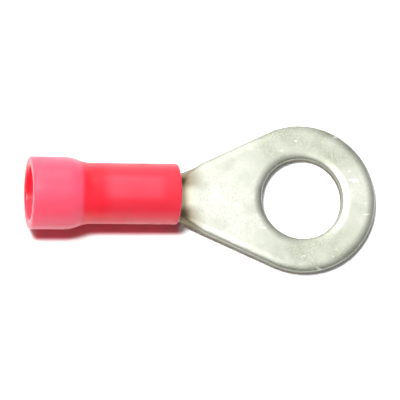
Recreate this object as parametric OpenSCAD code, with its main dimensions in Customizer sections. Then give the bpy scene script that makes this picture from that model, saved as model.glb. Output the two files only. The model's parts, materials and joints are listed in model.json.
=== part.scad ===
// Insulated ring terminal for a thin wire: a stamped and rolled metal terminal
// in a plastic sleeve with a wide entry for the wire.
// The origin is the centre of the stud hole on the tongue's underside.
// +Z is the hole's axis, +X points to the tip of the ring and the barrel lies along -X.

/* [Ring tongue] */
// Diameter of the hole for the stud
stud_hole_d = 5.3; // [4.3:0.1:6.4]
// Outer diameter of the ring
ring_d = 9.7; // [8.6:0.1:11.6]
// Thickness of the metal sheet
sheet_t = 0.8; // [0.6:0.05:1]
// Length from the middle of the stud hole to the front of the sleeve
tongue_l = 8.4; // [7.4:0.1:12]
// Width of the neck where it leaves the sleeve
neck_w = 2.9; // [2.4:0.1:3.1]
// Length over which the neck rolls up from the flat tongue
neck_roll_l = 1.9; // [1.2:0.1:2.4]
// How far the punch rounds over the upper edges, along the sheet
edge_roll_w = 0.54; // [0.1:0.02:0.6]
// How far the punch rounds over the upper edges, into the sheet
edge_roll_h = 0.2; // [0.05:0.01:0.24]

/* [Wire barrel] */
// Bore for the bare strands
barrel_bore_d = 1.7; // [1.5:0.05:2]
// Length of the barrel
barrel_l = 4.7; // [4:0.1:6]
// Gap left where the rolled edges meet
seam_gap = 0.06; // [0.02:0.01:0.15]
// Width of the groove along the seam
seam_groove_w = 0.36; // [0.2:0.02:0.5]
// Depth of the groove along the seam
seam_groove_h = 0.16; // [0.08:0.02:0.3]
// Bevel at the end where the wire goes in
barrel_bevel = 0.15; // [0.05:0.05:0.25]
// Number of gripping grooves inside the barrel
grip_count = 3; // [1:1:4]
// Distance from one gripping groove to the next
grip_pitch = 0.9; // [0.7:0.1:1]
// Width of a gripping groove
grip_w = 0.3; // [0.2:0.05:0.4]
// Depth of a gripping groove
grip_depth = 0.12; // [0.05:0.01:0.16]

/* [Insulating sleeve] */
// Length of the sleeve
sleeve_l = 9.7; // [9.2:0.1:12]
// Wall of the sleeve over the barrel
sleeve_wall = 0.3; // [0.25:0.05:0.6]
// Gap between the barrel and the sleeve
sleeve_gap = 0.02; // [0.01:0.01:0.05]
// How far the barrel's front sits inside the sleeve
barrel_inset = 0.1; // [0:0.05:0.3]
// Bore of the wide mouth, for the wire's insulation
mouth_bore_d = 3.4; // [3:0.1:3.8]
// Wall of the wide mouth
mouth_wall = 0.65; // [0.5:0.05:0.9]
// Length of the wide mouth before it narrows
mouth_l = 2.2; // [1.5:0.1:2.6]
// Length of the shoulder that narrows from the mouth to the straight part
shoulder_l = 1.9; // [1.4:0.1:2.2]
// Length of the inner funnel that leads the strands into the barrel
funnel_l = 1.5; // [1:0.1:2]
// Width of the step that hides the barrel's edge from the strands
throat_step = 0.18; // [0.16:0.01:0.25]
// Length of the throat between the funnel and the barrel
throat_l = 0.15; // [0.1:0.05:0.3]
// Rounding of the sleeve's rims
rim_r = 0.16; // [0.05:0.01:0.24]

/* [Hidden] */
$fn = 96;

hole_r = stud_hole_d / 2;
ring_r = ring_d / 2;
bore_r = barrel_bore_d / 2;
barrel_r = bore_r + sheet_t;
seat_r = barrel_r + sleeve_gap;
sleeve_r = seat_r + sleeve_wall;
mouth_bore_r = mouth_bore_d / 2;
mouth_r = mouth_bore_r + mouth_wall;
throat_r = bore_r + throat_step;

// Places along X. The underside of the tongue is level with the bottom of the barrel.
axis_z = barrel_r;
sleeve_front_x = -tongue_l;
sleeve_rear_x = sleeve_front_x - sleeve_l;
barrel_front_x = sleeve_front_x - barrel_inset;
barrel_rear_x = barrel_front_x - barrel_l;
flat_x = barrel_front_x + neck_roll_l;

// The tongue's straight edges run from the neck's corners to the ring, and cross its rim
// at a small angle where they would only touch it.
rim_bite = 0.06;
edge_reach = ring_r - rim_bite;
neck_to_hole = norm([tongue_l, neck_w / 2]);
taper_a = asin(edge_reach / neck_to_hole) - atan2(neck_w / 2, tongue_l);
touch = edge_reach * [-sin(taper_a), cos(taper_a)];
function tongue_half_w(x) = touch.y + (x - touch.x) * tan(taper_a);

// The arc that rounds an upper edge is level with the sheet at one end.
edge_roll_r = (pow(edge_roll_w, 2) + pow(edge_roll_h, 2)) / (2 * edge_roll_h);

// The neck is a loft: stations along X, and across each one a row of points on both faces.
neck_stations = 16;
neck_columns = 22;
edge_steps = 6;
neck_lap = 0.12;

// The sheet is drawn a little thinner as it rolls up: what each face loses at x.
lap_step = 0.01;
neck_thinning = 0.04;
function face_loss(x) =
    let (share = min(1, max(0, 1 - (x - barrel_front_x) / neck_roll_l)))
    lap_step + (neck_thinning - lap_step) * share;

// Where the sheet starts to bend, as a distance from the middle: nothing at the barrel,
// and the whole half width at the end of the roll.
function fold_y(x) =
    max(0, (x - barrel_front_x) / neck_roll_l * tongue_half_w(flat_x));

function bend_a(x) =
    let (w = tongue_half_w(max(x, barrel_front_x)))
    asin(min(1, max(0, w - fold_y(x)) / barrel_r));

// Half width of the sheet as laid flat, measured along its underside.
function laid_half_w(x) =
    let (w = tongue_half_w(max(x, barrel_front_x)))
    bend_a(x) > 0 ? fold_y(x) + barrel_r * bend_a(x) * PI / 180 : w;

// Rolls a point of the flat sheet, s across and h up, onto the trough at x.
function rolled(x, s, h) =
    let (over = max(0, abs(s) - fold_y(x)), a = over / barrel_r * 180 / PI, side = s < 0 ? -1 : 1)
    over > 0
        ? [x, side * (fold_y(x) + (barrel_r - h) * sin(a)), barrel_r - (barrel_r - h) * cos(a)]
        : [x, s, h];

// Height of the rounded upper edge at a distance d from the sheared side.
function edge_h(d) =
    sheet_t - edge_roll_r
    + sqrt(pow(edge_roll_r, 2) - pow(max(0, edge_roll_w - d), 2));

// One closed outline of the sheet at x, as (s, h): underside, right edge, top, left edge.
function sheet_outline(x) =
    let (
        low = face_loss(x),
        half = laid_half_w(x) - low,
        inner = half - edge_roll_w / cos(taper_a)
    )
    concat(
        [for (i = [0:neck_columns]) [half * (2 * i / neck_columns - 1), low]],
        [for (i = [0:edge_steps - 1])
            let (d = edge_roll_w * i / edge_steps)
            [half - d / cos(taper_a), edge_h(d) - low]],
        [for (i = [0:neck_columns]) [inner * (1 - 2 * i / neck_columns), sheet_t - low]],
        [for (i = [edge_steps - 1:-1:0])
            let (d = edge_roll_w * i / edge_steps)
            [-half + d / cos(taper_a), edge_h(d) - low]]
    );

// What the punch rounds off the upper corner of a sheared side, as a section:
// x inwards from the side, y up from the sheet's underside.
module corner_roll() {
    difference() {
        translate([-sheet_t, sheet_t - edge_roll_h]) square([sheet_t + edge_roll_w, sheet_t]);
        translate([edge_roll_w, sheet_t - edge_roll_r]) circle(edge_roll_r);
    }
}

module ring() {
    rotate_extrude()
        difference() {
            translate([hole_r, 0]) square([ring_r - hole_r, sheet_t]);
            translate([hole_r, 0]) corner_roll();
            translate([ring_r, 0]) mirror([1, 0]) corner_roll();
        }
}

// All that lies inwards of one straight edge, on the barrel's side of the ring.
module edge_side() {
    translate([touch.x, touch.y, 0])
        rotate([90, 0, taper_a - 90])
            linear_extrude(tongue_l + ring_r)
                difference() {
                    square([2 * ring_d, sheet_t]);
                    corner_roll();
                }
}

// The tapered part between the neck and the ring.
module taper() {
    difference() {
        intersection() {
            edge_side();
            mirror([0, 1, 0]) edge_side();
            translate([flat_x, -ring_d, 0]) cube([2 * ring_d, 2 * ring_d, sheet_t]);
        }
        translate([0, 0, -sheet_t]) cylinder(h = 3 * sheet_t, r = (hole_r + ring_r) / 2);
    }
}

// Faces that close one outline: a strip from the underside to the top, and a fan at each edge.
function end_faces() =
    let (top = neck_columns + edge_steps + 1, left = top + neck_columns)
    concat(
        [for (i = [0:neck_columns - 1]) [i, i + 1, left - i - 1, left - i]],
        [for (k = [0:edge_steps - 1]) [top, neck_columns + k, neck_columns + k + 1]],
        [for (k = [1:edge_steps - 1]) [left, left + k, left + k + 1]],
        [[left, left + edge_steps, 0]]
    );

function reversed(list) = [for (i = [len(list) - 1:-1:0]) list[i]];

// The neck rolls the flat tongue up into a trough that ends in the barrel's wall.
module neck() {
    from_x = barrel_front_x - neck_lap;
    to_x = flat_x + neck_lap;
    outlines = [
        for (i = [0:neck_stations])
            let (x = from_x + (to_x - from_x) * i / neck_stations)
            [for (p = sheet_outline(x)) rolled(x, p.x, p.y)]
    ];
    n = len(outlines[0]);
    skin = [
        for (i = [0:neck_stations - 1], j = [0:n - 1])
            let (k = (j + 1) % n)
            each [
                [i * n + j, (i + 1) * n + k, i * n + k],
                [i * n + j, (i + 1) * n + j, (i + 1) * n + k]
            ]
    ];
    far_end = [for (f = end_faces()) [for (j = reversed(f)) neck_stations * n + j]];
    polyhedron(
        points = [for (o = outlines) each o],
        faces = concat(skin, end_faces(), far_end)
    );
}

// Turns a shape made along +Z to lie along +X on the barrel's axis, from x.
module along_barrel(x) {
    translate([x, 0, axis_z]) rotate([90, 0, 90]) children();
}

module barrel_section() {
    difference() {
        circle(barrel_r);
        circle(bore_r);
        translate([-seam_gap / 2, 0]) square([seam_gap, 2 * barrel_r]);
        polygon([
            [0, barrel_r - seam_groove_h],
            [seam_groove_w, barrel_r + seam_groove_h],
            [-seam_groove_w, barrel_r + seam_groove_h]
        ]);
    }
}

module barrel() {
    first_grip = (barrel_l - (grip_count - 1) * grip_pitch) / 2;
    difference() {
        along_barrel(barrel_rear_x) linear_extrude(barrel_l) barrel_section();
        along_barrel(barrel_rear_x) cylinder(h = barrel_bevel, r1 = bore_r + barrel_bevel, r2 = bore_r);
        for (i = [0:grip_count - 1])
            along_barrel(barrel_rear_x + first_grip + i * grip_pitch)
                rotate_extrude()
                    polygon([
                        [0, -grip_w / 2],
                        [bore_r, -grip_w / 2],
                        [bore_r + grip_depth, 0],
                        [bore_r, grip_w / 2],
                        [0, grip_w / 2]
                    ]);
    }
}

// Sheet metal: ring tongue, neck and rolled barrel in one piece.
module terminal() {
    color("lightgray") {
        ring();
        taper();
        neck();
        barrel();
    }
}

// Half the length over which the shoulder bends one way, and the radius of each bend.
shoulder_half_l = shoulder_l / 2;
shoulder_drop = mouth_r - sleeve_r;
shoulder_bend_r = (pow(shoulder_l, 2) + pow(shoulder_drop, 2)) / (4 * shoulder_drop);

// Outside of the sleeve, as a section: x from the axis, y from the rear rim to the front.
module sleeve_outside() {
    straight_y = mouth_l + shoulder_l;
    rounded_block(mouth_r, 0, mouth_l, rim_r, 0);
    intersection() {
        translate([0, mouth_l]) square([mouth_r, shoulder_half_l]);
        translate([mouth_r - shoulder_bend_r, mouth_l]) circle(shoulder_bend_r);
    }
    difference() {
        translate([0, mouth_l + shoulder_half_l])
            square([(mouth_r + sleeve_r) / 2, shoulder_half_l]);
        translate([sleeve_r + shoulder_bend_r, straight_y]) circle(shoulder_bend_r);
    }
    rounded_block(sleeve_r, straight_y, sleeve_l, 0, rim_r);
}

// A block from the axis out to r, between y0 and y1, with its outer corners rounded.
module rounded_block(r, y0, y1, r0, r1) {
    difference() {
        translate([0, y0]) square([r, y1 - y0]);
        if (r0 > 0) corner_waste(r, y0, r0, 1);
        if (r1 > 0) corner_waste(r, y1, r1, -1);
    }
}

// What is cut from a square corner at (x, y) to round it. way is 1 where the block lies above y.
module corner_waste(x, y, r, way) {
    difference() {
        translate([x - r, y - r]) square(2 * r);
        translate([x - r, y + way * r]) circle(r);
        translate([x - r, y + (1.5 * way - 0.5) * r]) square([2 * r, r]);
    }
}

// Inside of the sleeve: wide mouth, funnel, throat and the seat of the barrel.
module sleeve_inside() {
    seat_y = sleeve_l - barrel_inset - barrel_l;
    throat_y = seat_y - throat_l;
    funnel_y = throat_y - funnel_l;
    polygon([
        [0, -rim_r],
        [mouth_bore_r + rim_r, -rim_r],
        [mouth_bore_r + rim_r, 0],
        [mouth_bore_r, rim_r],
        [mouth_bore_r, funnel_y],
        [throat_r, throat_y],
        [throat_r, seat_y],
        [seat_r, seat_y],
        [seat_r, sleeve_l + rim_r],
        [0, sleeve_l + rim_r]
    ]);
}

// Soft plastic sleeve, pushed over the barrel from behind.
module sleeve() {
    color("#f5405c")
        along_barrel(sleeve_rear_x)
            rotate_extrude()
                difference() {
                    sleeve_outside();
                    sleeve_inside();
                }
}

terminal();
sleeve();
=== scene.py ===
"""An insulated ring terminal: its stamped and rolled sheet, and the soft sleeve on its barrel."""

import json
import math

import bmesh
import bpy
from mathutils import Matrix, Vector


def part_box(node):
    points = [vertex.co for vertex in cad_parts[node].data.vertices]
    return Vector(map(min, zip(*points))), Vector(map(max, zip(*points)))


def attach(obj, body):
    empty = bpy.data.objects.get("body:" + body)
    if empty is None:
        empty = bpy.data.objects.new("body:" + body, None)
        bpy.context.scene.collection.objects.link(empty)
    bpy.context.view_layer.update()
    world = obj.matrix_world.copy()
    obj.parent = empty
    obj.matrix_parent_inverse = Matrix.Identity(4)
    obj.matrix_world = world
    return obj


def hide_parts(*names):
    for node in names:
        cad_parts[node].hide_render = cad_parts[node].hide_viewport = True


bl_info = {
    "name": "Insulated ring terminal",
    "version": (1, 0, 0),
    "blender": (4, 5, 0),
    "location": "View3D > Sidebar > Ring terminal",
    "description": "Models a stamped ring terminal with a soft flared sleeve",
    "category": "Add Mesh",
}

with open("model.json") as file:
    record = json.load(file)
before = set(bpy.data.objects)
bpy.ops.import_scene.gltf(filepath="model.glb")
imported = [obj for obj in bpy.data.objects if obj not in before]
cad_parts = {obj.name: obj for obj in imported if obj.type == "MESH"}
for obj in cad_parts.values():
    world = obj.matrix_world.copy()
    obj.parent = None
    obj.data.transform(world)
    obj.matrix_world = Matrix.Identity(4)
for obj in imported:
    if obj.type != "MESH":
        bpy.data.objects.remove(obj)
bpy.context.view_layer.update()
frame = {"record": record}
MM = 0.001
BODY = "root"


# Sizes that the frame gives

def mount(name):
    """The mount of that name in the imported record."""
    return next(m for m in frame["record"]["mounts"] if m["name"] == name)


TERMINAL_LOW, TERMINAL_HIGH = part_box("terminal")
SLEEVE_LOW, SLEEVE_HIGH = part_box("sleeve")
HOLE_R = mount("stud_hole")["dims"]["r_mm"] * MM
SHEET_T = mount("washer_face")["pos_m"][2]
BARREL_R = mount("wire_barrel")["pos_m"][2]
MOUTH_BORE_R = mount("insulation_entry")["dims"]["r_mm"] * MM


class TerminalSizes(bpy.types.PropertyGroup):
    """Sizes of the stamped and rolled sheet."""

    hole_r: bpy.props.FloatProperty(
        name="Stud hole radius", description="Radius of the hole for the stud",
        default=HOLE_R, unit="LENGTH")
    ring_r: bpy.props.FloatProperty(
        name="Ring radius", description="Outer radius of the ring",
        default=TERMINAL_HIGH.x, unit="LENGTH")
    sheet_t: bpy.props.FloatProperty(
        name="Sheet thickness", description="Thickness of the metal sheet",
        default=SHEET_T, unit="LENGTH")
    neck_w: bpy.props.FloatProperty(
        name="Neck width", description="Width of the neck where it leaves the sleeve",
        default=2.9 * MM, unit="LENGTH")
    neck_roll_l: bpy.props.FloatProperty(
        name="Neck roll length", description="Length over which the neck rolls up from the flat tongue",
        default=1.9 * MM, unit="LENGTH")
    barrel_r: bpy.props.FloatProperty(
        name="Barrel radius", description="Outer radius of the rolled barrel",
        default=BARREL_R, unit="LENGTH")
    barrel_inset: bpy.props.FloatProperty(
        name="Barrel inset", description="How far the barrel's front sits inside the sleeve",
        default=0.1 * MM, unit="LENGTH")
    seam_gap: bpy.props.FloatProperty(
        name="Seam gap", description="Gap left where the rolled edges meet",
        default=0.06 * MM, unit="LENGTH")
    edge_roll_w: bpy.props.FloatProperty(
        name="Edge roll width",
        description="How far the punch rounds over the upper edges, along the sheet",
        default=0.54 * MM, unit="LENGTH")
    edge_roll_h: bpy.props.FloatProperty(
        name="Edge roll depth",
        description="How far the punch rounds over the upper edges, into the sheet",
        default=0.2 * MM, unit="LENGTH")
    lower_rim: bpy.props.FloatProperty(
        name="Lower rim", description="Rounding of the lower edges",
        default=0.03 * MM, unit="LENGTH")


class SleeveSizes(bpy.types.PropertyGroup):
    """Sizes of the soft sleeve."""

    mouth_r: bpy.props.FloatProperty(
        name="Mouth radius", description="Outer radius of the flared mouth",
        default=SLEEVE_HIGH.y, unit="LENGTH")
    mouth_bore_r: bpy.props.FloatProperty(
        name="Mouth bore radius", description="Radius of the entry for the wire's insulation",
        default=MOUTH_BORE_R, unit="LENGTH")
    wall: bpy.props.FloatProperty(
        name="Wall", description="Wall of the sleeve over the barrel",
        default=0.3 * MM, unit="LENGTH")
    gap: bpy.props.FloatProperty(
        name="Gap", description="Gap between the barrel and the sleeve",
        default=0.02 * MM, unit="LENGTH")
    mouth_l: bpy.props.FloatProperty(
        name="Mouth length", description="Length of the flare before it narrows",
        default=2.2 * MM, unit="LENGTH")
    shoulder_l: bpy.props.FloatProperty(
        name="Shoulder length",
        description="Length of the shoulder from the flare to the straight part",
        default=1.9 * MM, unit="LENGTH")
    funnel_l: bpy.props.FloatProperty(
        name="Funnel length", description="Length of the inner funnel that leads the strands in",
        default=1.5 * MM, unit="LENGTH")
    throat_r: bpy.props.FloatProperty(
        name="Throat radius", description="Radius of the throat between the funnel and the barrel",
        default=1.03 * MM, unit="LENGTH")
    throat_l: bpy.props.FloatProperty(
        name="Throat length", description="Length of the throat between the funnel and the barrel",
        default=0.15 * MM, unit="LENGTH")
    rim_r: bpy.props.FloatProperty(
        name="Rim rounding", description="Rounding of the sleeve's rims",
        default=0.16 * MM, unit="LENGTH")


class Finishes(bpy.types.PropertyGroup):
    """Colours of the two materials."""

    tin: bpy.props.FloatVectorProperty(
        name="Tin", description="Colour of the satin tin plating", subtype="COLOR",
        default=(0.61, 0.62, 0.56), min=0, max=1)
    dull_tin: bpy.props.FloatVectorProperty(
        name="Dull tin", description="Colour of the duller clouds in the plating", subtype="COLOR",
        default=(0.33, 0.35, 0.275), min=0, max=1)
    # Brown tint that also serves as painted shade in the corners beside the sleeve and on the sheared
    # sides there
    tarnish_and_shade: bpy.props.FloatVectorProperty(
        name="Tarnish", description="Colour of the brown corners beside the sleeve", subtype="COLOR",
        default=(0.19, 0.145, 0.08), min=0, max=1)
    # Painted light: a gold tint on the neck's middle, made bright to offset the sleeve's shadow there
    golden_painted_light: bpy.props.FloatVectorProperty(
        name="Golden tinge", description="Colour of the middle of the neck beside the sleeve",
        subtype="COLOR", default=(0.86, 0.77, 0.56), min=0, max=1)
    sheared: bpy.props.FloatVectorProperty(
        name="Sheared edge", description="Colour of the rough band on the sheared edges",
        subtype="COLOR", default=(0.155, 0.125, 0.092), min=0, max=1)
    plastic: bpy.props.FloatVectorProperty(
        name="Plastic", description="Colour of the sleeve over the barrel", subtype="COLOR",
        default=(0.99, 0.04, 0.075), min=0, max=1)
    # Deep red of the thick plastic; also the painted shade in the bore
    thick_and_shaded_plastic: bpy.props.FloatVectorProperty(
        name="Thick plastic", description="Colour of the sleeve where it is empty behind the barrel",
        subtype="COLOR", default=(0.94, 0.02, 0.05), min=0, max=1)
    # Painted highlight: the barrel's shine through the sleeve on its crown; also the lit side of the
    # bore
    painted_lit_plastic: bpy.props.FloatVectorProperty(
        name="Plastic on the crown", description="Colour where the barrel shines through the sleeve",
        subtype="COLOR", default=(1.0, 0.07, 0.12), min=0, max=1)
    thin_plastic: bpy.props.FloatVectorProperty(
        name="Flared plastic", description="Colour of the flared mouth, which the light shines through",
        subtype="COLOR", default=(1.0, 0.115, 0.20), min=0, max=1)


# Modelling helpers

SELECT_MODES = {"verts": "VERT", "edges": "EDGE", "faces": "FACE"}


def edit(obj):
    """Selects only obj and enters edit mode on it."""
    if bpy.context.object and bpy.context.object.mode != "OBJECT":
        leave_edit()
    bpy.ops.object.select_all(action="DESELECT")
    obj.select_set(True)
    bpy.context.view_layer.objects.active = obj
    bpy.ops.object.mode_set(mode="EDIT")


def leave_edit():
    """Goes back to object mode."""
    bpy.ops.object.mode_set(mode="OBJECT")


def pick(obj, kind, test):
    """Selects the vertices, edges or faces that pass the test."""
    bpy.ops.mesh.select_mode(type=SELECT_MODES[kind])
    bpy.ops.mesh.select_all(action="DESELECT")
    mesh = bmesh.from_edit_mesh(obj.data)
    mesh.normal_update()
    chosen = [part for part in getattr(mesh, kind) if test(part)]
    for part in chosen:
        part.select_set(True)
    mesh.select_flush_mode()
    bmesh.update_edit_mesh(obj.data)
    if not chosen:
        raise RuntimeError(f"{obj.name}: nothing to shape")


def new_circle(segments, radius, **place):
    """A circle of edges, all selected in edit mode, that a piece grows from."""
    bpy.ops.object.select_all(action="DESELECT")
    bpy.ops.mesh.primitive_circle_add(
        vertices=segments, radius=radius, fill_type="NOTHING", **place)
    bpy.ops.object.transform_apply(location=True, rotation=True, scale=True)
    circle = bpy.context.object
    edit(circle)
    bpy.ops.mesh.select_mode(type="EDGE")
    bpy.ops.mesh.select_all(action="SELECT")
    return circle


def finish_piece(obj, name, smooth_angle, replaced):
    """Names the piece, gives it smooth shading and puts it in the CAD node's place."""
    obj.name = name
    obj.data.name = name
    bpy.ops.object.transform_apply(location=True, rotation=True, scale=True)
    bpy.ops.object.shade_smooth_by_angle(angle=smooth_angle)
    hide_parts(replaced)
    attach(obj, BODY)


# The stamped and rolled terminal

RING_SEGMENTS = 144
NECK_ROWS = 14
BARREL_ROWS = 6
WING_ROWS = 9
EDGE_ROLL_STEPS = 5
LOWER_RIM_STEPS = 2
METAL_SMOOTH_ANGLE = math.radians(32)
FLAT_MARGIN = 0.06 * MM
CLOSE = 0.002 * MM
# How far a face's normal points up or down, from 0 on an upright side to 1 on a flat face
FLAT = 0.9
SLOPING = 0.5
UPRIGHT = 0.35


class BlankPlan:
    """The outline of the flat blank and how it rolls up, worked out from the sizes."""

    def __init__(self, sizes):
        self.sizes = sizes
        self.margin = sizes.edge_roll_w + FLAT_MARGIN
        self.collar_r = sizes.ring_r - self.margin
        self.tongue_l = -SLEEVE_HIGH.x
        self.barrel_front_x = SLEEVE_HIGH.x - sizes.barrel_inset
        self.barrel_rear_x = TERMINAL_LOW.x
        self.flat_x = self.barrel_front_x + sizes.neck_roll_l
        neck_to_hole = math.hypot(self.tongue_l, sizes.neck_w / 2)
        neck_corner_a = math.atan2(sizes.neck_w / 2, self.tongue_l)
        self.taper_a = math.asin(sizes.ring_r / neck_to_hole) - neck_corner_a
        self.touch_x = -sizes.ring_r * math.sin(self.taper_a)
        self.touch_y = sizes.ring_r * math.cos(self.taper_a)

    def past_touch(self, point):
        """Is the point on the barrel's side of where the straight edges leave the ring?"""
        touch_a = math.atan2(self.touch_y, -self.touch_x)
        half_step = math.pi / RING_SEGMENTS
        return math.atan2(abs(point.y), -point.x) < touch_a + half_step

    def straight_half_w(self, x):
        """Half width of the finished tongue between its straight edges."""
        return self.touch_y + (x - self.touch_x) * math.tan(self.taper_a)

    def fold_y(self, x):
        """Where the sheet starts to bend, measured from the middle."""
        share = max(0.0, (x - self.barrel_front_x) / self.sizes.neck_roll_l)
        return share * self.straight_half_w(self.flat_x)

    def laid_half_w(self, x):
        """Half width of the blank before it is rolled."""
        half_w = self.straight_half_w(max(x, self.barrel_front_x))
        bent = max(0.0, half_w - self.fold_y(x))
        bend_a = math.asin(min(1.0, bent / self.sizes.barrel_r))
        return half_w - bent + self.sizes.barrel_r * bend_a

    def rolled(self, point):
        """Where a point of the flat blank ends up."""
        barrel_r = self.sizes.barrel_r
        fold_y = self.fold_y(point.x)
        over = abs(point.y) - fold_y
        if point.x > self.flat_x or over <= 0:
            return point
        a = over / barrel_r
        reach = barrel_r - point.z
        y = fold_y + reach * math.sin(a)
        return Vector((point.x, math.copysign(y, point.y), barrel_r - reach * math.cos(a)))


def grow_outwards(inner_r, outer_r):
    """Extrudes the picked edges in the sheet's plane, from one radius to the next."""
    growth = outer_r / inner_r
    bpy.ops.mesh.extrude_edges_move()
    bpy.ops.transform.resize(value=(growth, growth, 1), center_override=(0, 0, 0))


def spread_row(blank, plan, x):
    """Sets the width of the row of vertices at x, with the inner ones clear of the edge."""
    half_w = plan.laid_half_w(x)
    row = [v for v in bmesh.from_edit_mesh(blank.data).verts if abs(v.co.x - x) < CLOSE]
    widest = max(abs(v.co.y) for v in row)
    inner = max(abs(v.co.y) for v in row if abs(v.co.y) < widest - CLOSE)
    pick(blank, "verts", lambda v: abs(v.co.x - x) < CLOSE and abs(v.co.y) < widest - CLOSE)
    bpy.ops.transform.resize(
        value=(1, (half_w - plan.margin) / inner, 1), center_override=(x, 0, 0))
    pick(blank, "verts", lambda v: abs(v.co.x - x) < CLOSE and abs(v.co.y) > widest - CLOSE)
    bpy.ops.transform.resize(value=(1, half_w / widest, 1), center_override=(x, 0, 0))


def stamp_ring(plan):
    """The flat ring around the stud hole, up to the collar that rim and taper grow from."""
    hole_r = plan.sizes.hole_r
    middle_r = (hole_r + plan.sizes.ring_r) / 2
    radii = (hole_r, hole_r + plan.margin, middle_r, plan.collar_r)
    blank = new_circle(RING_SEGMENTS, hole_r)
    for inner_r, outer_r in zip(radii, radii[1:]):
        grow_outwards(inner_r, outer_r)
    return blank


def stamp_tongue(blank, plan):
    """The rim, the taper between its straight edges, and the strip that is rolled later."""
    sizes = plan.sizes

    def beside_barrel(edge):
        return all(plan.past_touch(v.co) for v in edge.verts)

    def on_collar(edge):
        return all(abs(v.co.xy.length - plan.collar_r) < CLOSE for v in edge.verts)

    def outside_collar(edge):
        return all(v.co.xy.length > plan.collar_r - CLOSE for v in edge.verts)

    pick(blank, "edges", lambda e: on_collar(e) and not beside_barrel(e))
    grow_outwards(plan.collar_r, sizes.ring_r)
    pick(blank, "edges", lambda e: e.is_boundary and beside_barrel(e) and outside_collar(e))
    bpy.ops.mesh.extrude_edges_move()
    bpy.ops.transform.resize(value=(0, 1, 1), center_override=(plan.flat_x, 0, 0))
    spread_row(blank, plan, plan.flat_x)

    x = plan.flat_x
    barrel_l = plan.barrel_front_x - plan.barrel_rear_x
    steps = [sizes.neck_roll_l / NECK_ROWS] * NECK_ROWS + [barrel_l / BARREL_ROWS] * BARREL_ROWS
    for step in steps:
        pick(blank, "edges", lambda e: all(abs(v.co.x - x) < CLOSE for v in e.verts))
        bpy.ops.mesh.extrude_edges_move(TRANSFORM_OT_translate={"value": (-step, 0, 0)})
        x -= step
        spread_row(blank, plan, x)


def stamp_wings(blank, plan):
    """The two wings that roll up into the barrel."""
    y = plan.laid_half_w(plan.barrel_rear_x)
    wing_edge = math.pi * plan.sizes.barrel_r - plan.sizes.seam_gap / 2
    steps = [(wing_edge - plan.margin - y) / WING_ROWS] * WING_ROWS + [plan.margin]

    def on_wing(vertex, side):
        beside = abs(vertex.co.y * side - y) < CLOSE
        return beside and vertex.co.x < plan.barrel_front_x + CLOSE

    for step in steps:
        for side in (1, -1):
            pick(blank, "edges", lambda e: all(on_wing(v, side) for v in e.verts))
            bpy.ops.mesh.extrude_edges_move(TRANSFORM_OT_translate={"value": (0, side * step, 0)})
        y += step


def thicken(blank, sizes):
    """Gives the blank its thickness, less the depth of the rounding, with its lower face at 0."""
    leave_edit()
    solidify = blank.modifiers.new("Sheet", "SOLIDIFY")
    solidify.thickness = sizes.sheet_t - sizes.edge_roll_h
    solidify.offset = 1
    bpy.ops.object.modifier_apply(modifier=solidify.name)
    edit(blank)
    bpy.ops.mesh.select_all(action="SELECT")
    bpy.ops.mesh.normals_make_consistent(inside=False)
    low = min(v.co.z for v in bmesh.from_edit_mesh(blank.data).verts)
    bpy.ops.transform.translate(value=(0, 0, -low))


def round_edges(blank, sizes):
    """Rounds the upper edges over as the punch does, and takes the sharpness off the lower ones."""
    def on_lower_rim(edge):
        tilts = [face.normal.z for face in edge.link_faces]
        low = all(v.co.z < CLOSE for v in edge.verts)
        return low and min(tilts) < -FLAT and max(tilts) > -SLOPING

    pick(blank, "faces", lambda f: f.normal.z > FLAT)
    for k in range(EDGE_ROLL_STEPS):
        a, b = (math.pi / 2 * i / EDGE_ROLL_STEPS for i in (k, k + 1))
        bpy.ops.mesh.inset(
            thickness=sizes.edge_roll_w * (math.cos(a) - math.cos(b)),
            depth=sizes.edge_roll_h * (math.sin(b) - math.sin(a)),
            use_even_offset=True)
    pick(blank, "edges", on_lower_rim)
    bpy.ops.mesh.bevel(offset=sizes.lower_rim, segments=LOWER_RIM_STEPS, profile=0.5)
    leave_edit()


def plate(blank, finishes, sizes):
    """Gives the faces their tin, and the upright sides the look of a sheared edge."""
    blank.data.materials.append(satin_tin(finishes))
    blank.data.materials.append(sheared_edge(finishes, sizes))
    for face in blank.data.polygons:
        face.material_index = 1 if abs(face.normal.z) < UPRIGHT else 0


def roll_up(blank, plan):
    """Rolls the neck into a trough and the wings into the barrel."""
    for vertex in blank.data.vertices:
        vertex.co = plan.rolled(vertex.co.copy())
    blank.data.update()


class MakeTerminal(bpy.types.Operator):
    """Stamp the ring tongue from a sheet and roll its barrel"""

    bl_idname = "ring_terminal.make_terminal"
    bl_label = "Stamped terminal"

    def execute(self, context):
        settings = context.scene.ring_terminal
        plan = BlankPlan(settings.terminal)
        blank = stamp_ring(plan)
        stamp_tongue(blank, plan)
        stamp_wings(blank, plan)
        thicken(blank, settings.terminal)
        round_edges(blank, settings.terminal)
        plate(blank, settings.finishes, settings.terminal)
        roll_up(blank, plan)
        finish_piece(blank, "stamped_terminal", METAL_SMOOTH_ANGLE, "terminal")
        return {"FINISHED"}


# The sleeve

SLEEVE_SEGMENTS = 128
RIM_STEPS = 6
BEND_STEPS = 10
SLEEVE_SMOOTH_ANGLE = math.radians(34)


def arc_points(centre, radius, start_a, end_a, steps):
    """Points on an arc, without the first one."""
    angles = [start_a + (end_a - start_a) * (i + 1) / steps for i in range(steps)]
    return [(centre[0] + radius * math.cos(a), centre[1] + radius * math.sin(a)) for a in angles]


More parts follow.
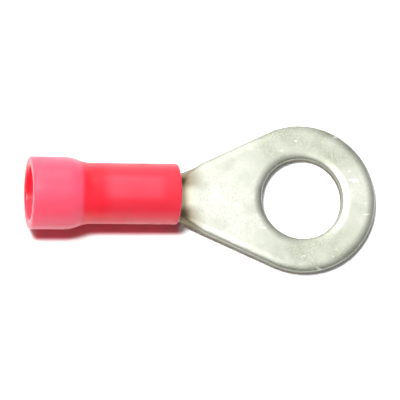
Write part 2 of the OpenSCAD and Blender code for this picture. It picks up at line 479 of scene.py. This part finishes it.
def sleeve_profile(sizes, barrel_r):
    """The sleeve's section as (distance from the rear rim, radius): the outside, then the bore."""
    sleeve_l = SLEEVE_HIGH.x - SLEEVE_LOW.x
    seat_r = barrel_r + sizes.gap
    sleeve_r = seat_r + sizes.wall
    rim = sizes.rim_r
    drop = sizes.mouth_r - sleeve_r
    bend_r = (sizes.shoulder_l ** 2 + drop ** 2) / (4 * drop)
    bend_a = math.asin(sizes.shoulder_l / 2 / bend_r)
    straight_x = sizes.mouth_l + sizes.shoulder_l
    seat_x = TERMINAL_LOW.x - SLEEVE_LOW.x
    throat_x = seat_x - sizes.throat_l
    funnel_x = throat_x - sizes.funnel_l
    mouth_r = sizes.mouth_r
    bore_r = sizes.mouth_bore_r
    quarter = math.pi / 2
    points = [(0, mouth_r - rim)]
    points += arc_points((rim, mouth_r - rim), rim, 2 * quarter, quarter, RIM_STEPS)
    points += [(sizes.mouth_l / 2, mouth_r), (sizes.mouth_l, mouth_r)]
    points += arc_points(
        (sizes.mouth_l, mouth_r - bend_r), bend_r, quarter, quarter - bend_a, BEND_STEPS)
    points += arc_points(
        (straight_x, sleeve_r + bend_r), bend_r, -quarter - bend_a, -quarter, BEND_STEPS)
    points += [((straight_x + sleeve_l) / 2, sleeve_r), (sleeve_l - rim, sleeve_r)]
    points += arc_points((sleeve_l - rim, sleeve_r - rim), rim, quarter, 0, RIM_STEPS)
    points += [(sleeve_l, seat_r + sizes.gap), (sleeve_l - sizes.gap, seat_r)]
    points += [(seat_x, seat_r), (seat_x, sizes.throat_r), (throat_x, sizes.throat_r)]
    points += [(funnel_x, bore_r), (rim, bore_r)]
    points += arc_points((rim, bore_r + rim), rim, -quarter, -2 * quarter, RIM_STEPS)
    return points


def turned_shape(profile, segments, rear_x, axis_z):
    """A ring of edges at the rear that is drawn along the profile and joined to its start."""
    turned = new_circle(
        segments, profile[0][1], location=(rear_x, 0, axis_z), rotation=(0, math.pi / 2, 0))
    for (x, r), (next_x, next_r) in zip(profile, profile[1:]):
        growth = next_r / r
        bpy.ops.mesh.extrude_edges_move(TRANSFORM_OT_translate={"value": (next_x - x, 0, 0)})
        bpy.ops.transform.resize(value=(1, growth, growth), center_override=(0, 0, axis_z))
    pick(turned, "edges", lambda e: e.is_boundary)
    bpy.ops.mesh.bridge_edge_loops()
    bpy.ops.mesh.select_all(action="SELECT")
    bpy.ops.mesh.normals_make_consistent(inside=False)
    leave_edit()
    return turned


class MakeSleeve(bpy.types.Operator):
    """Turn the soft sleeve with its flared mouth, funnel and seat"""

    bl_idname = "ring_terminal.make_sleeve"
    bl_label = "Soft sleeve"

    def execute(self, context):
        settings = context.scene.ring_terminal
        barrel_r = settings.terminal.barrel_r
        profile = sleeve_profile(settings.sleeve, barrel_r)
        sleeve = turned_shape(profile, SLEEVE_SEGMENTS, SLEEVE_LOW.x, barrel_r)
        sleeve.data.materials.append(red_vinyl(settings.finishes, settings.sleeve))
        finish_piece(sleeve, "soft_sleeve", SLEEVE_SMOOTH_ANGLE, "sleeve")
        return {"FINISHED"}


# Shader node helpers

# Sockets of a Mix node that mixes colours: factor, first and second colour, and the result
MIX_FACTOR, MIX_FIRST, MIX_SECOND, MIX_RESULT = 0, 6, 7, 2
# What a mask is eased to where it is full at first and then fades out
FADING = (1.0, 0.0)


def new_material(name):
    """An empty node material and its node tree."""
    material = bpy.data.materials.new(name)
    material.use_nodes = True
    tree = material.node_tree
    tree.nodes.clear()
    return material, tree


def add(tree, kind, inputs=None, **settings):
    """Adds a node. inputs maps socket names or numbers to values or to the sockets that feed them."""
    node = tree.nodes.new(kind)
    for key, value in settings.items():
        setattr(node, key, value)
    for key, value in (inputs or {}).items():
        if isinstance(value, bpy.types.NodeSocket):
            tree.links.new(value, node.inputs[key])
        else:
            node.inputs[key].default_value = value
    return node


def maths(tree, operation, *values, clamp=False):
    """What a Math node makes of the values."""
    inputs = dict(enumerate(values))
    return add(tree, "ShaderNodeMath", inputs, operation=operation, use_clamp=clamp).outputs[0]


def mixed(tree, factor, first, second, blend="MIX"):
    """The colour between two others, each of them a socket or a plain red, green and blue."""
    first, second = (
        end if isinstance(end, bpy.types.NodeSocket) else (*end, 1.0) for end in (first, second))
    inputs = {MIX_FACTOR: factor, MIX_FIRST: first, MIX_SECOND: second}
    node = add(tree, "ShaderNodeMix", inputs, data_type="RGBA", blend_type=blend)
    return node.outputs[MIX_RESULT]


def toned(colour, factor):
    """A colour made brighter or darker."""
    return [min(1.0, channel * factor) for channel in colour]


def shifted(span, start):
    """A span of lengths, counted from a place."""
    return [start + length for length in span]


def eased(tree, value, span, to=(0.0, 1.0)):
    """Value brought smoothly from one range to another."""
    node = add(tree, "ShaderNodeMapRange", {
        "Value": value, "From Min": span[0], "From Max": span[1], "To Min": to[0], "To Max": to[1],
    }, interpolation_type="SMOOTHSTEP")
    return node.outputs["Result"]


def object_place(tree):
    """The place of a point in the object's own coordinates."""
    return add(tree, "ShaderNodeTexCoord").outputs["Object"]


def coordinates(tree, place):
    """The X, Y and Z of a place."""
    return add(tree, "ShaderNodeSeparateXYZ", {"Vector": place}).outputs


def stretched(tree, place, scale_x, turn_a=0.0):
    """The place turned in the sheet's plane, and scaled so that a pattern is drawn out along X."""
    node = add(tree, "ShaderNodeMapping", {
        "Vector": place, "Rotation": (0, 0, turn_a), "Scale": (scale_x, 1.0, 1.0)})
    return node.outputs["Vector"]


def new_group(name, inputs, outputs):
    """An empty node group with named sockets. inputs maps each name to (type, default)."""
    group = bpy.data.node_groups.new(name, "ShaderNodeTree")
    for socket_name, (kind, default) in inputs.items():
        socket = group.interface.new_socket(name=socket_name, in_out="INPUT", socket_type=kind)
        if default is not None:
            socket.default_value = default
    for socket_name, kind in outputs.items():
        group.interface.new_socket(name=socket_name, in_out="OUTPUT", socket_type=kind)
    return group, group.nodes.new("NodeGroupInput"), group.nodes.new("NodeGroupOutput")


def clouds_group():
    """Soft clouds of a given size, as a mask. It is built once."""
    name = "soft_clouds"
    if name in bpy.data.node_groups:
        return bpy.data.node_groups[name]
    group, given, result = new_group(
        name,
        {"Place": ("NodeSocketVector", None), "Density": ("NodeSocketFloat", 1000.0),
         "Edge": ("NodeSocketFloat", 0.15), "Level": ("NodeSocketFloat", 0.5)},
        {"Mask": "NodeSocketFloat"})
    noise = add(group, "ShaderNodeTexNoise", {
        "Vector": given.outputs["Place"], "Scale": given.outputs["Density"],
        "Detail": 3.0, "Roughness": 0.45})
    level, edge = given.outputs["Level"], given.outputs["Edge"]
    span = (maths(group, "SUBTRACT", level, edge), maths(group, "ADD", level, edge))
    group.links.new(eased(group, noise.outputs["Fac"], span), result.inputs["Mask"])
    return group


def clouds(tree, place, density, edge, level=0.5):
    """Soft clouds: density is how many to a metre, edge how soft, and level how much stays clear."""
    inputs = {"Place": place, "Density": density, "Edge": edge, "Level": level}
    return add(tree, "ShaderNodeGroup", inputs, node_tree=clouds_group()).outputs["Mask"]


def bumped(tree, height, strength, distance, over=None):
    """The normal of a surface with that height, or of one that is bumped already."""
    inputs = {"Strength": strength, "Distance": distance, "Height": height}
    if over:
        inputs["Normal"] = over
    return add(tree, "ShaderNodeBump", inputs).outputs["Normal"]


def shade(tree, inputs):
    """Ends the material in a Principled shader with these inputs."""
    shader = add(tree, "ShaderNodeBsdfPrincipled", inputs)
    add(tree, "ShaderNodeOutputMaterial", {"Surface": shader.outputs[0]})


# The metal

# Where the painted shade and light on the tin change: beside the middle line, along X, and away from
# the sleeve's front
FLANK_SHADE_BESIDE = (1.2 * MM, 3.1 * MM)
FLANK_SHADE_ALONG = (-5.0 * MM, -1.0 * MM)
CORNER_SHADE_BESIDE = (0.3 * MM, 1.0 * MM)
CORNER_SHADE_AWAY = (0.5 * MM, 2.2 * MM)
GOLDEN_LIGHT_AWAY = (0.6 * MM, 1.3 * MM)
CONTACT_SHADE_AWAY = (0.02 * MM, 0.16 * MM)
SIDE_SHADE_AWAY = (0.5 * MM, 1.6 * MM)
# Where the sheared side's burnished band starts, as shares of the sheet's thickness
BURNISHED_FROM = (0.38, 0.5)
# How strong the duller clouds are, and how much brighter or darker a detail is than its finish
CLOUD_DULLNESS = 0.22
NICK_TONE = 1.25
TORN_TONE = 1.5
BURNISHED_TONE = 0.52


def clouded_tin(tree, finishes, place, patches, smears, specks):
    """The tin's colour: duller clouds, sides darkened with painted shade, fine specks and a few bright
    nicks.
    """
    x, y, _ = coordinates(tree, place)
    # Painted shade: darker away from the middle line, mostly on the ring
    beside = eased(tree, maths(tree, "ABSOLUTE", y), FLANK_SHADE_BESIDE, to=(0.0, 0.95))
    along = eased(tree, x, FLANK_SHADE_ALONG, to=(0.1, 1.0))
    shaded_flanks = maths(tree, "MULTIPLY", beside, along)
    faint_patches = maths(tree, "MULTIPLY", patches, CLOUD_DULLNESS)
    dulled_and_shaded = maths(tree, "ADD", faint_patches, shaded_flanks, clamp=True)
    nicks = clouds(tree, stretched(tree, place, 0.35, 0.7), density=2600.0, edge=0.04, level=0.7)
    half_dull = mixed(tree, 0.5, finishes.tin, finishes.dull_tin)
    base = mixed(tree, dulled_and_shaded, finishes.tin, finishes.dull_tin)
    base = mixed(tree, smears, base, half_dull)
    base = mixed(tree, specks, base, half_dull)
    return mixed(tree, nicks, base, toned(finishes.tin, NICK_TONE))


def tarnished_and_shaded(tree, finishes, place, base):
    """The tin beside the sleeve: a gold-tinted middle painted bright against the sleeve's shadow, brown
    corners with painted shade, and a painted contact shadow line.
    """
    x, y, _ = coordinates(tree, place)
    away = maths(tree, "SUBTRACT", x, SLEEVE_HIGH.x)
    # Painted light: a bright gold-tinted middle that offsets the sleeve's shadow on the neck
    golden_painted_light = eased(tree, away, GOLDEN_LIGHT_AWAY, to=(0.9, 0.0))
    # Painted shade: the corners beside the sleeve are darkened and tinted brown
    corners = maths(
        tree, "MULTIPLY", eased(tree, away, CORNER_SHADE_AWAY, to=FADING),
        eased(tree, maths(tree, "ABSOLUTE", y), CORNER_SHADE_BESIDE, to=(0.0, 0.95)))
    # Painted contact shadow: a dark line on the metal at the sleeve's front
    contact_shade_line = eased(tree, away, CONTACT_SHADE_AWAY, to=(0.9, 0.0))
    base = mixed(tree, golden_painted_light, base, finishes.golden_painted_light)
    base = mixed(tree, corners, base, finishes.tarnish_and_shade)
    return mixed(tree, contact_shade_line, base, finishes.sheared)


def satin_tin(finishes):
    """Satin tin plating: soft clouds, fine drawn lines, nicks, painted shade on its sides, and beside
    the sleeve a brown tint with painted shade and painted light.
    """
    material, tree = new_material("satin_tin")
    place = object_place(tree)
    patches = clouds(tree, stretched(tree, place, 0.8), density=330.0, edge=0.12)
    smears = clouds(tree, stretched(tree, place, 0.6, 0.5), density=1000.0, edge=0.24, level=0.54)
    specks = clouds(tree, place, density=9000.0, edge=0.18, level=0.55)
    drawn = clouds(tree, stretched(tree, place, 0.06), density=11000.0, edge=0.3)
    base = clouded_tin(tree, finishes, place, patches, smears, specks)
    swells = bumped(
        tree, maths(tree, "ADD", patches, smears), strength=0.32, distance=0.03 * MM)
    normal = bumped(
        tree, maths(tree, "ADD", specks, drawn), strength=0.08, distance=0.01 * MM, over=swells)
    shade(tree, {
        "Base Color": tarnished_and_shaded(tree, finishes, place, base), "Metallic": 1.0,
        "Roughness": eased(tree, patches, (0.0, 1.0), to=(0.48, 0.56)), "Normal": normal})
    return material


def sheared_edge(finishes, sizes):
    """The sheared side of the sheet: a bright burnished band over a rough brown one, with painted shade
    beside the sleeve.
    """
    material, tree = new_material("sheared_edge")
    place = object_place(tree)
    x, _, z = coordinates(tree, place)
    torn = clouds(tree, place, density=6000.0, edge=0.2)
    burnished = eased(tree, z, [share * sizes.sheet_t for share in BURNISHED_FROM])
    # Painted shade: the sheared sides are darkened and browned beside the sleeve
    shade_near_sleeve = eased(tree, x, shifted(SIDE_SHADE_AWAY, SLEEVE_HIGH.x), to=(0.75, 0.0))
    base = mixed(tree, torn, finishes.sheared, toned(finishes.sheared, TORN_TONE))
    base = mixed(tree, burnished, base, toned(finishes.dull_tin, BURNISHED_TONE))
    base = mixed(tree, shade_near_sleeve, base, finishes.tarnish_and_shade)
    shade(tree, {
        "Base Color": base, "Metallic": 1.0,
        "Roughness": eased(tree, burnished, (0.0, 1.0), to=(0.65, 0.35)),
        "Normal": bumped(tree, torn, strength=0.4, distance=0.02 * MM)})
    return material


# The plastic

# Where its colour changes: past the share of the shoulder that is as pale as the flare, over the
# barrel's rear, and on the sleeve's crown, where a highlight is painted
FLARE_SHARE = 0.35
FLARE_END = (0.15 * MM, 0.6 * MM)
BARREL_START = (-0.5 * MM, 0.4 * MM)
CROWN_END = (-1.6 * MM, -0.8 * MM)
CROWN_TOP = (-0.22 * MM, -0.06 * MM)
# The bore's colour starts a little outside the bore, and deepens from one side to the other with
# painted light and shade
LIP_ALONG = (0.15 * MM, 0.5 * MM)
LIP_OUTSIDE = (0.4 * MM, 0.12 * MM)
LIP_EDGE = (-0.06 * MM, 0.06 * MM)
BORE_ACROSS = (-0.6 * MM, 0.3 * MM)


def axis_distance(tree, place):
    """How far the place is from the sleeve's axis."""
    from_axis = add(
        tree, "ShaderNodeVectorMath", {0: place, 1: (0.0, 0.0, BARREL_R)}, operation="SUBTRACT")
    across = add(
        tree, "ShaderNodeVectorMath", {0: from_axis.outputs["Vector"], 1: (0.0, 1.0, 1.0)},
        operation="MULTIPLY")
    length = add(
        tree, "ShaderNodeVectorMath", {0: across.outputs["Vector"]}, operation="LENGTH")
    return length.outputs["Value"]


def bore_mask(tree, place, x):
    """Where the bore is, with the soft lip at its entry."""
    lip_r = eased(
        tree, x, shifted(LIP_ALONG, SLEEVE_LOW.x), to=shifted(LIP_OUTSIDE, MOUTH_BORE_R))
    within = maths(tree, "SUBTRACT", lip_r, axis_distance(tree, place))
    return eased(tree, within, LIP_EDGE)


def sleeve_colour(tree, finishes, sizes, place):
    """The plastic's colour: deep behind the barrel, a painted highlight on its crown, pinkest at the
    flare, and painted light and shade in the bore.
    """
    x, y, z = coordinates(tree, place)
    flare_x = SLEEVE_LOW.x + sizes.mouth_l + sizes.shoulder_l * FLARE_SHARE
    crown_z = 2 * BARREL_R + sizes.gap + sizes.wall
    flare = eased(tree, x, shifted(FLARE_END, flare_x), to=FADING)
    over_barrel = eased(tree, x, shifted(BARREL_START, TERMINAL_LOW.x))
    # Painted highlight on the crown, where the barrel's shine shows through
    crown = maths(
        tree, "MULTIPLY", eased(tree, x, shifted(CROWN_END, SLEEVE_HIGH.x), to=FADING),
        eased(tree, z, shifted(CROWN_TOP, crown_z)))
    in_mouth = maths(tree, "MULTIPLY", bore_mask(tree, place, x), flare)
    # Painted light and shade in the bore: paler on the lit side, deeper on the shaded side
    bore = mixed(
        tree, eased(tree, y, BORE_ACROSS), finishes.painted_lit_plastic, finishes.thick_and_shaded_plastic)
    base = mixed(tree, over_barrel, finishes.thick_and_shaded_plastic, finishes.plastic)
    base = mixed(tree, maths(tree, "MULTIPLY", crown, over_barrel), base, finishes.painted_lit_plastic)
    base = mixed(tree, flare, base, finishes.thin_plastic)
    return mixed(tree, in_mouth, base, bore)


def red_vinyl(finishes, sizes):
    """Soft translucent red plastic with a faint haze and shallow ripples."""
    material, tree = new_material("red_vinyl")
    place = object_place(tree)
    haze = clouds(tree, place, density=700.0, edge=0.25)
    ripples = clouds(tree, stretched(tree, place, 0.4), density=1500.0, edge=0.4)
    shade(tree, {
        "Base Color": sleeve_colour(tree, finishes, sizes, place),
        "Roughness": eased(tree, haze, (0.0, 1.0), to=(0.3, 0.42)),
        "Normal": bumped(tree, ripples, strength=0.15, distance=0.02 * MM),
        "IOR": 1.5, "Specular IOR Level": 0.3, "Transmission Weight": 0.25,
        "Subsurface Weight": 0.9, "Subsurface Radius": (1.0, 0.1, 0.13),
        "Subsurface Scale": 0.5 * MM})
    return material


# The stage

CAMERA_TILT_X = math.radians(10.44)
CAMERA_TILT_Y = math.radians(12.7)
CAMERA_ROLL = math.radians(0.54)
CAMERA_DISTANCE = 400 * MM
FIELD_W = 25.91 * MM
SENSOR_W = 36.0  # in millimetres, as the camera counts it
CLIP_START = 1 * MM
CLIP_END = 10.0
AIM = Vector((-6.6, 0, 0.8)) * MM
AIM_RIGHT = -0.16 * MM
AIM_UP = -0.18 * MM
FLOOR_SIZE = 2.0
FLOOR_TONE = 0.85
FLOOR_SEEN_TONE = 1.0
# The red shadow painted on the floor beside the sleeve, for light through the plastic: its colour, how
# far it slips aside, its half width behind and in front of the shoulder, its soft edge, and where it
# starts and ends along the sleeve
PAINTED_RED_SHADOW = (0.8, 0.22, 0.27)
PAINTED_SHADOW_ASIDE = 0.25 * MM
PAINTED_SHADOW_SHOULDER = (2.6 * MM, 4.4 * MM)
PAINTED_SHADOW_HALF_W = (2.35 * MM, 1.97 * MM)
PAINTED_SHADOW_EDGE = (-0.15 * MM, 0.2 * MM)
PAINTED_SHADOW_START = (0.2 * MM, 0.9 * MM)
PAINTED_SHADOW_END = (0.2 * MM, 0.7 * MM)
LAMP_DISTANCE = 400 * MM
# Each lamp's name, direction from the part, size and power in watts
LAMPS = (
    ("soft_window", (-0.35, 0.12, 1.0), 80 * MM, 2.1),
    ("back_window", (-0.15, 1.0, 0.75), 300 * MM, 0.7),
)
SKY_HEIGHT = (0.1, 1.0)
SKY_STRENGTH = (0.17, 0.36)


def camera_axes():
    """The camera's right, up and backward directions."""
    back = Vector((-math.tan(CAMERA_TILT_X), -math.tan(CAMERA_TILT_Y), 1)).normalized()
    along = Vector((1, 0, 0))
    right = (along - along.dot(back) * back).normalized()
    right = Matrix.Rotation(CAMERA_ROLL, 3, back) @ right
    return right, back.cross(right), back


def add_camera():
    """A camera nearly straight above, leaning towards the mouth and the near side."""
    right, up, back = camera_axes()
    data = bpy.data.cameras.new("camera")
    data.sensor_width = SENSOR_W
    data.lens = SENSOR_W * CAMERA_DISTANCE / FIELD_W
    data.clip_start = CLIP_START
    data.clip_end = CLIP_END
    camera = bpy.data.objects.new("camera", data)
    bpy.context.scene.collection.objects.link(camera)
    target = AIM + right * AIM_RIGHT + up * AIM_UP
    facing = Matrix((right, up, back)).transposed().to_4x4()
    camera.matrix_world = Matrix.Translation(target + back * CAMERA_DISTANCE) @ facing
    bpy.context.scene.camera = camera


def rest_plane():
    """A point and the tilt of the floor, laid from the ring's tip to the flare's rear rim."""
    # The flare's front end, which the part really bears on, lies about 0.07 mm below that floor.
    tip = Vector((TERMINAL_HIGH.x, 0, 0))
    rim = Vector((SLEEVE_LOW.x, 0, SLEEVE_LOW.z))
    return tip, math.atan2(tip.z - rim.z, tip.x - rim.x)


def seen_mask(tree):
    """1 where the camera sees the floor itself, or in a reflection or through the plastic."""
    path = add(tree, "ShaderNodeLightPath").outputs
    mirrored = maths(tree, "MAXIMUM", path["Is Camera Ray"], path["Is Glossy Ray"])
    return maths(tree, "MAXIMUM", mirrored, path["Is Transmission Ray"])


def painted_shadow_mask(tree, tip_x):
    """Where a red shadow is painted on the floor beside the sleeve, for light that has passed through
    it.
    """
    rear = SLEEVE_LOW.x - tip_x
    front = SLEEVE_HIGH.x - tip_x
    x, y, _ = coordinates(tree, object_place(tree))
    aside = maths(tree, "ABSOLUTE", maths(tree, "ADD", y, PAINTED_SHADOW_ASIDE))
    half_w = eased(tree, x, shifted(PAINTED_SHADOW_SHOULDER, rear), to=PAINTED_SHADOW_HALF_W)
    beneath = eased(tree, maths(tree, "SUBTRACT", half_w, aside), PAINTED_SHADOW_EDGE)
    started = eased(tree, x, shifted(PAINTED_SHADOW_START, rear))
    not_ended = eased(tree, x, shifted(PAINTED_SHADOW_END, front), to=FADING)
    return maths(tree, "MULTIPLY", maths(tree, "MULTIPLY", beneath, started), not_ended)


def add_floor():
    """The white floor that the part lies on, with a red shadow painted beside the sleeve."""
    tip, tilt = rest_plane()
    bpy.ops.object.select_all(action="DESELECT")
    bpy.ops.mesh.primitive_plane_add(size=FLOOR_SIZE, location=tip, rotation=(0, -tilt, 0))
    floor = bpy.context.object
    floor.name = "floor"
    material, tree = new_material("white_floor")
    white = mixed(tree, seen_mask(tree), (FLOOR_TONE,) * 3, (FLOOR_SEEN_TONE,) * 3)
    # Painted shadow: the floor is darkened and reddened beside the sleeve
    reddened = mixed(tree, 1.0, white, PAINTED_RED_SHADOW, blend="MULTIPLY")
    colour = mixed(tree, painted_shadow_mask(tree, tip.x), white, reddened)
    surface = add(tree, "ShaderNodeBsdfDiffuse", {"Color": colour})
    add(tree, "ShaderNodeOutputMaterial", {"Surface": surface.outputs[0]})
    floor.data.materials.append(material)


def add_lamp(name, direction, size, power):
    """A square soft lamp that shines from a direction onto the part."""
    data = bpy.data.lights.new(name, "AREA")
    data.shape = "SQUARE"
    data.size = size
    data.energy = power
    lamp = bpy.data.objects.new(name, data)
    bpy.context.scene.collection.objects.link(lamp)
    toward = Vector(direction).normalized()
    facing = toward.to_track_quat("Z", "Y").to_matrix().to_4x4()
    lamp.matrix_world = Matrix.Translation(AIM + toward * LAMP_DISTANCE) @ facing


def add_sky():
    """A soft white sky, brightest overhead and dim towards the horizon."""
    world = bpy.data.worlds.new("studio")
    world.use_nodes = True
    tree = world.node_tree
    tree.nodes.clear()
    _, _, height = coordinates(tree, add(tree, "ShaderNodeTexCoord").outputs["Generated"])
    strength = eased(tree, height, SKY_HEIGHT, to=SKY_STRENGTH)
    sky = add(tree, "ShaderNodeBackground", {"Color": (1, 1, 1, 1), "Strength": strength})
    add(tree, "ShaderNodeOutputWorld", {"Surface": sky.outputs[0]})
    bpy.context.scene.world = world


class MakeStage(bpy.types.Operator):
    """Set the camera, the white floor, the soft lamps and the sky"""

    bl_idname = "ring_terminal.make_stage"
    bl_label = "Camera, floor and lamps"

    def execute(self, context):
        add_camera()
        add_floor()
        for lamp in LAMPS:
            add_lamp(*lamp)
        add_sky()
        context.scene.view_settings.view_transform = "Standard"
        return {"FINISHED"}


# The add-on

class RingTerminal(bpy.types.PropertyGroup):
    """All settings of the part."""

    terminal: bpy.props.PointerProperty(
        name="Terminal", description="Sizes of the metal", type=TerminalSizes)
    sleeve: bpy.props.PointerProperty(
        name="Sleeve", description="Sizes of the sleeve", type=SleeveSizes)
    finishes: bpy.props.PointerProperty(
        name="Finishes", description="Colours of metal and plastic", type=Finishes)


class RingTerminalPanel(bpy.types.Panel):
    """The sizes, the colours and the buttons"""

    bl_idname = "VIEW3D_PT_ring_terminal"
    bl_label = "Ring terminal"
    bl_space_type = "VIEW_3D"
    bl_region_type = "UI"
    bl_category = "Ring terminal"

    def draw(self, context):
        settings = context.scene.ring_terminal
        for group in (settings.terminal, settings.sleeve, settings.finishes):
            box = self.layout.box()
            for name in group.bl_rna.properties.keys():
                if name not in ("rna_type", "name"):
                    box.prop(group, name)
        for step in STEPS:
            self.layout.operator(step.bl_idname)


STEPS = (MakeTerminal, MakeSleeve, MakeStage)
CLASSES = (TerminalSizes, SleeveSizes, Finishes, RingTerminal, *STEPS, RingTerminalPanel)


def register():
    for cls in CLASSES:
        bpy.utils.register_class(cls)
    bpy.types.Scene.ring_terminal = bpy.props.PointerProperty(type=RingTerminal)


def unregister():
    del bpy.types.Scene.ring_terminal
    for cls in reversed(CLASSES):
        bpy.utils.unregister_class(cls)


def main():
    register()
    bpy.ops.ring_terminal.make_terminal()
    bpy.ops.ring_terminal.make_sleeve()
    bpy.ops.ring_terminal.make_stage()


if __name__ == "__main__":
    main()
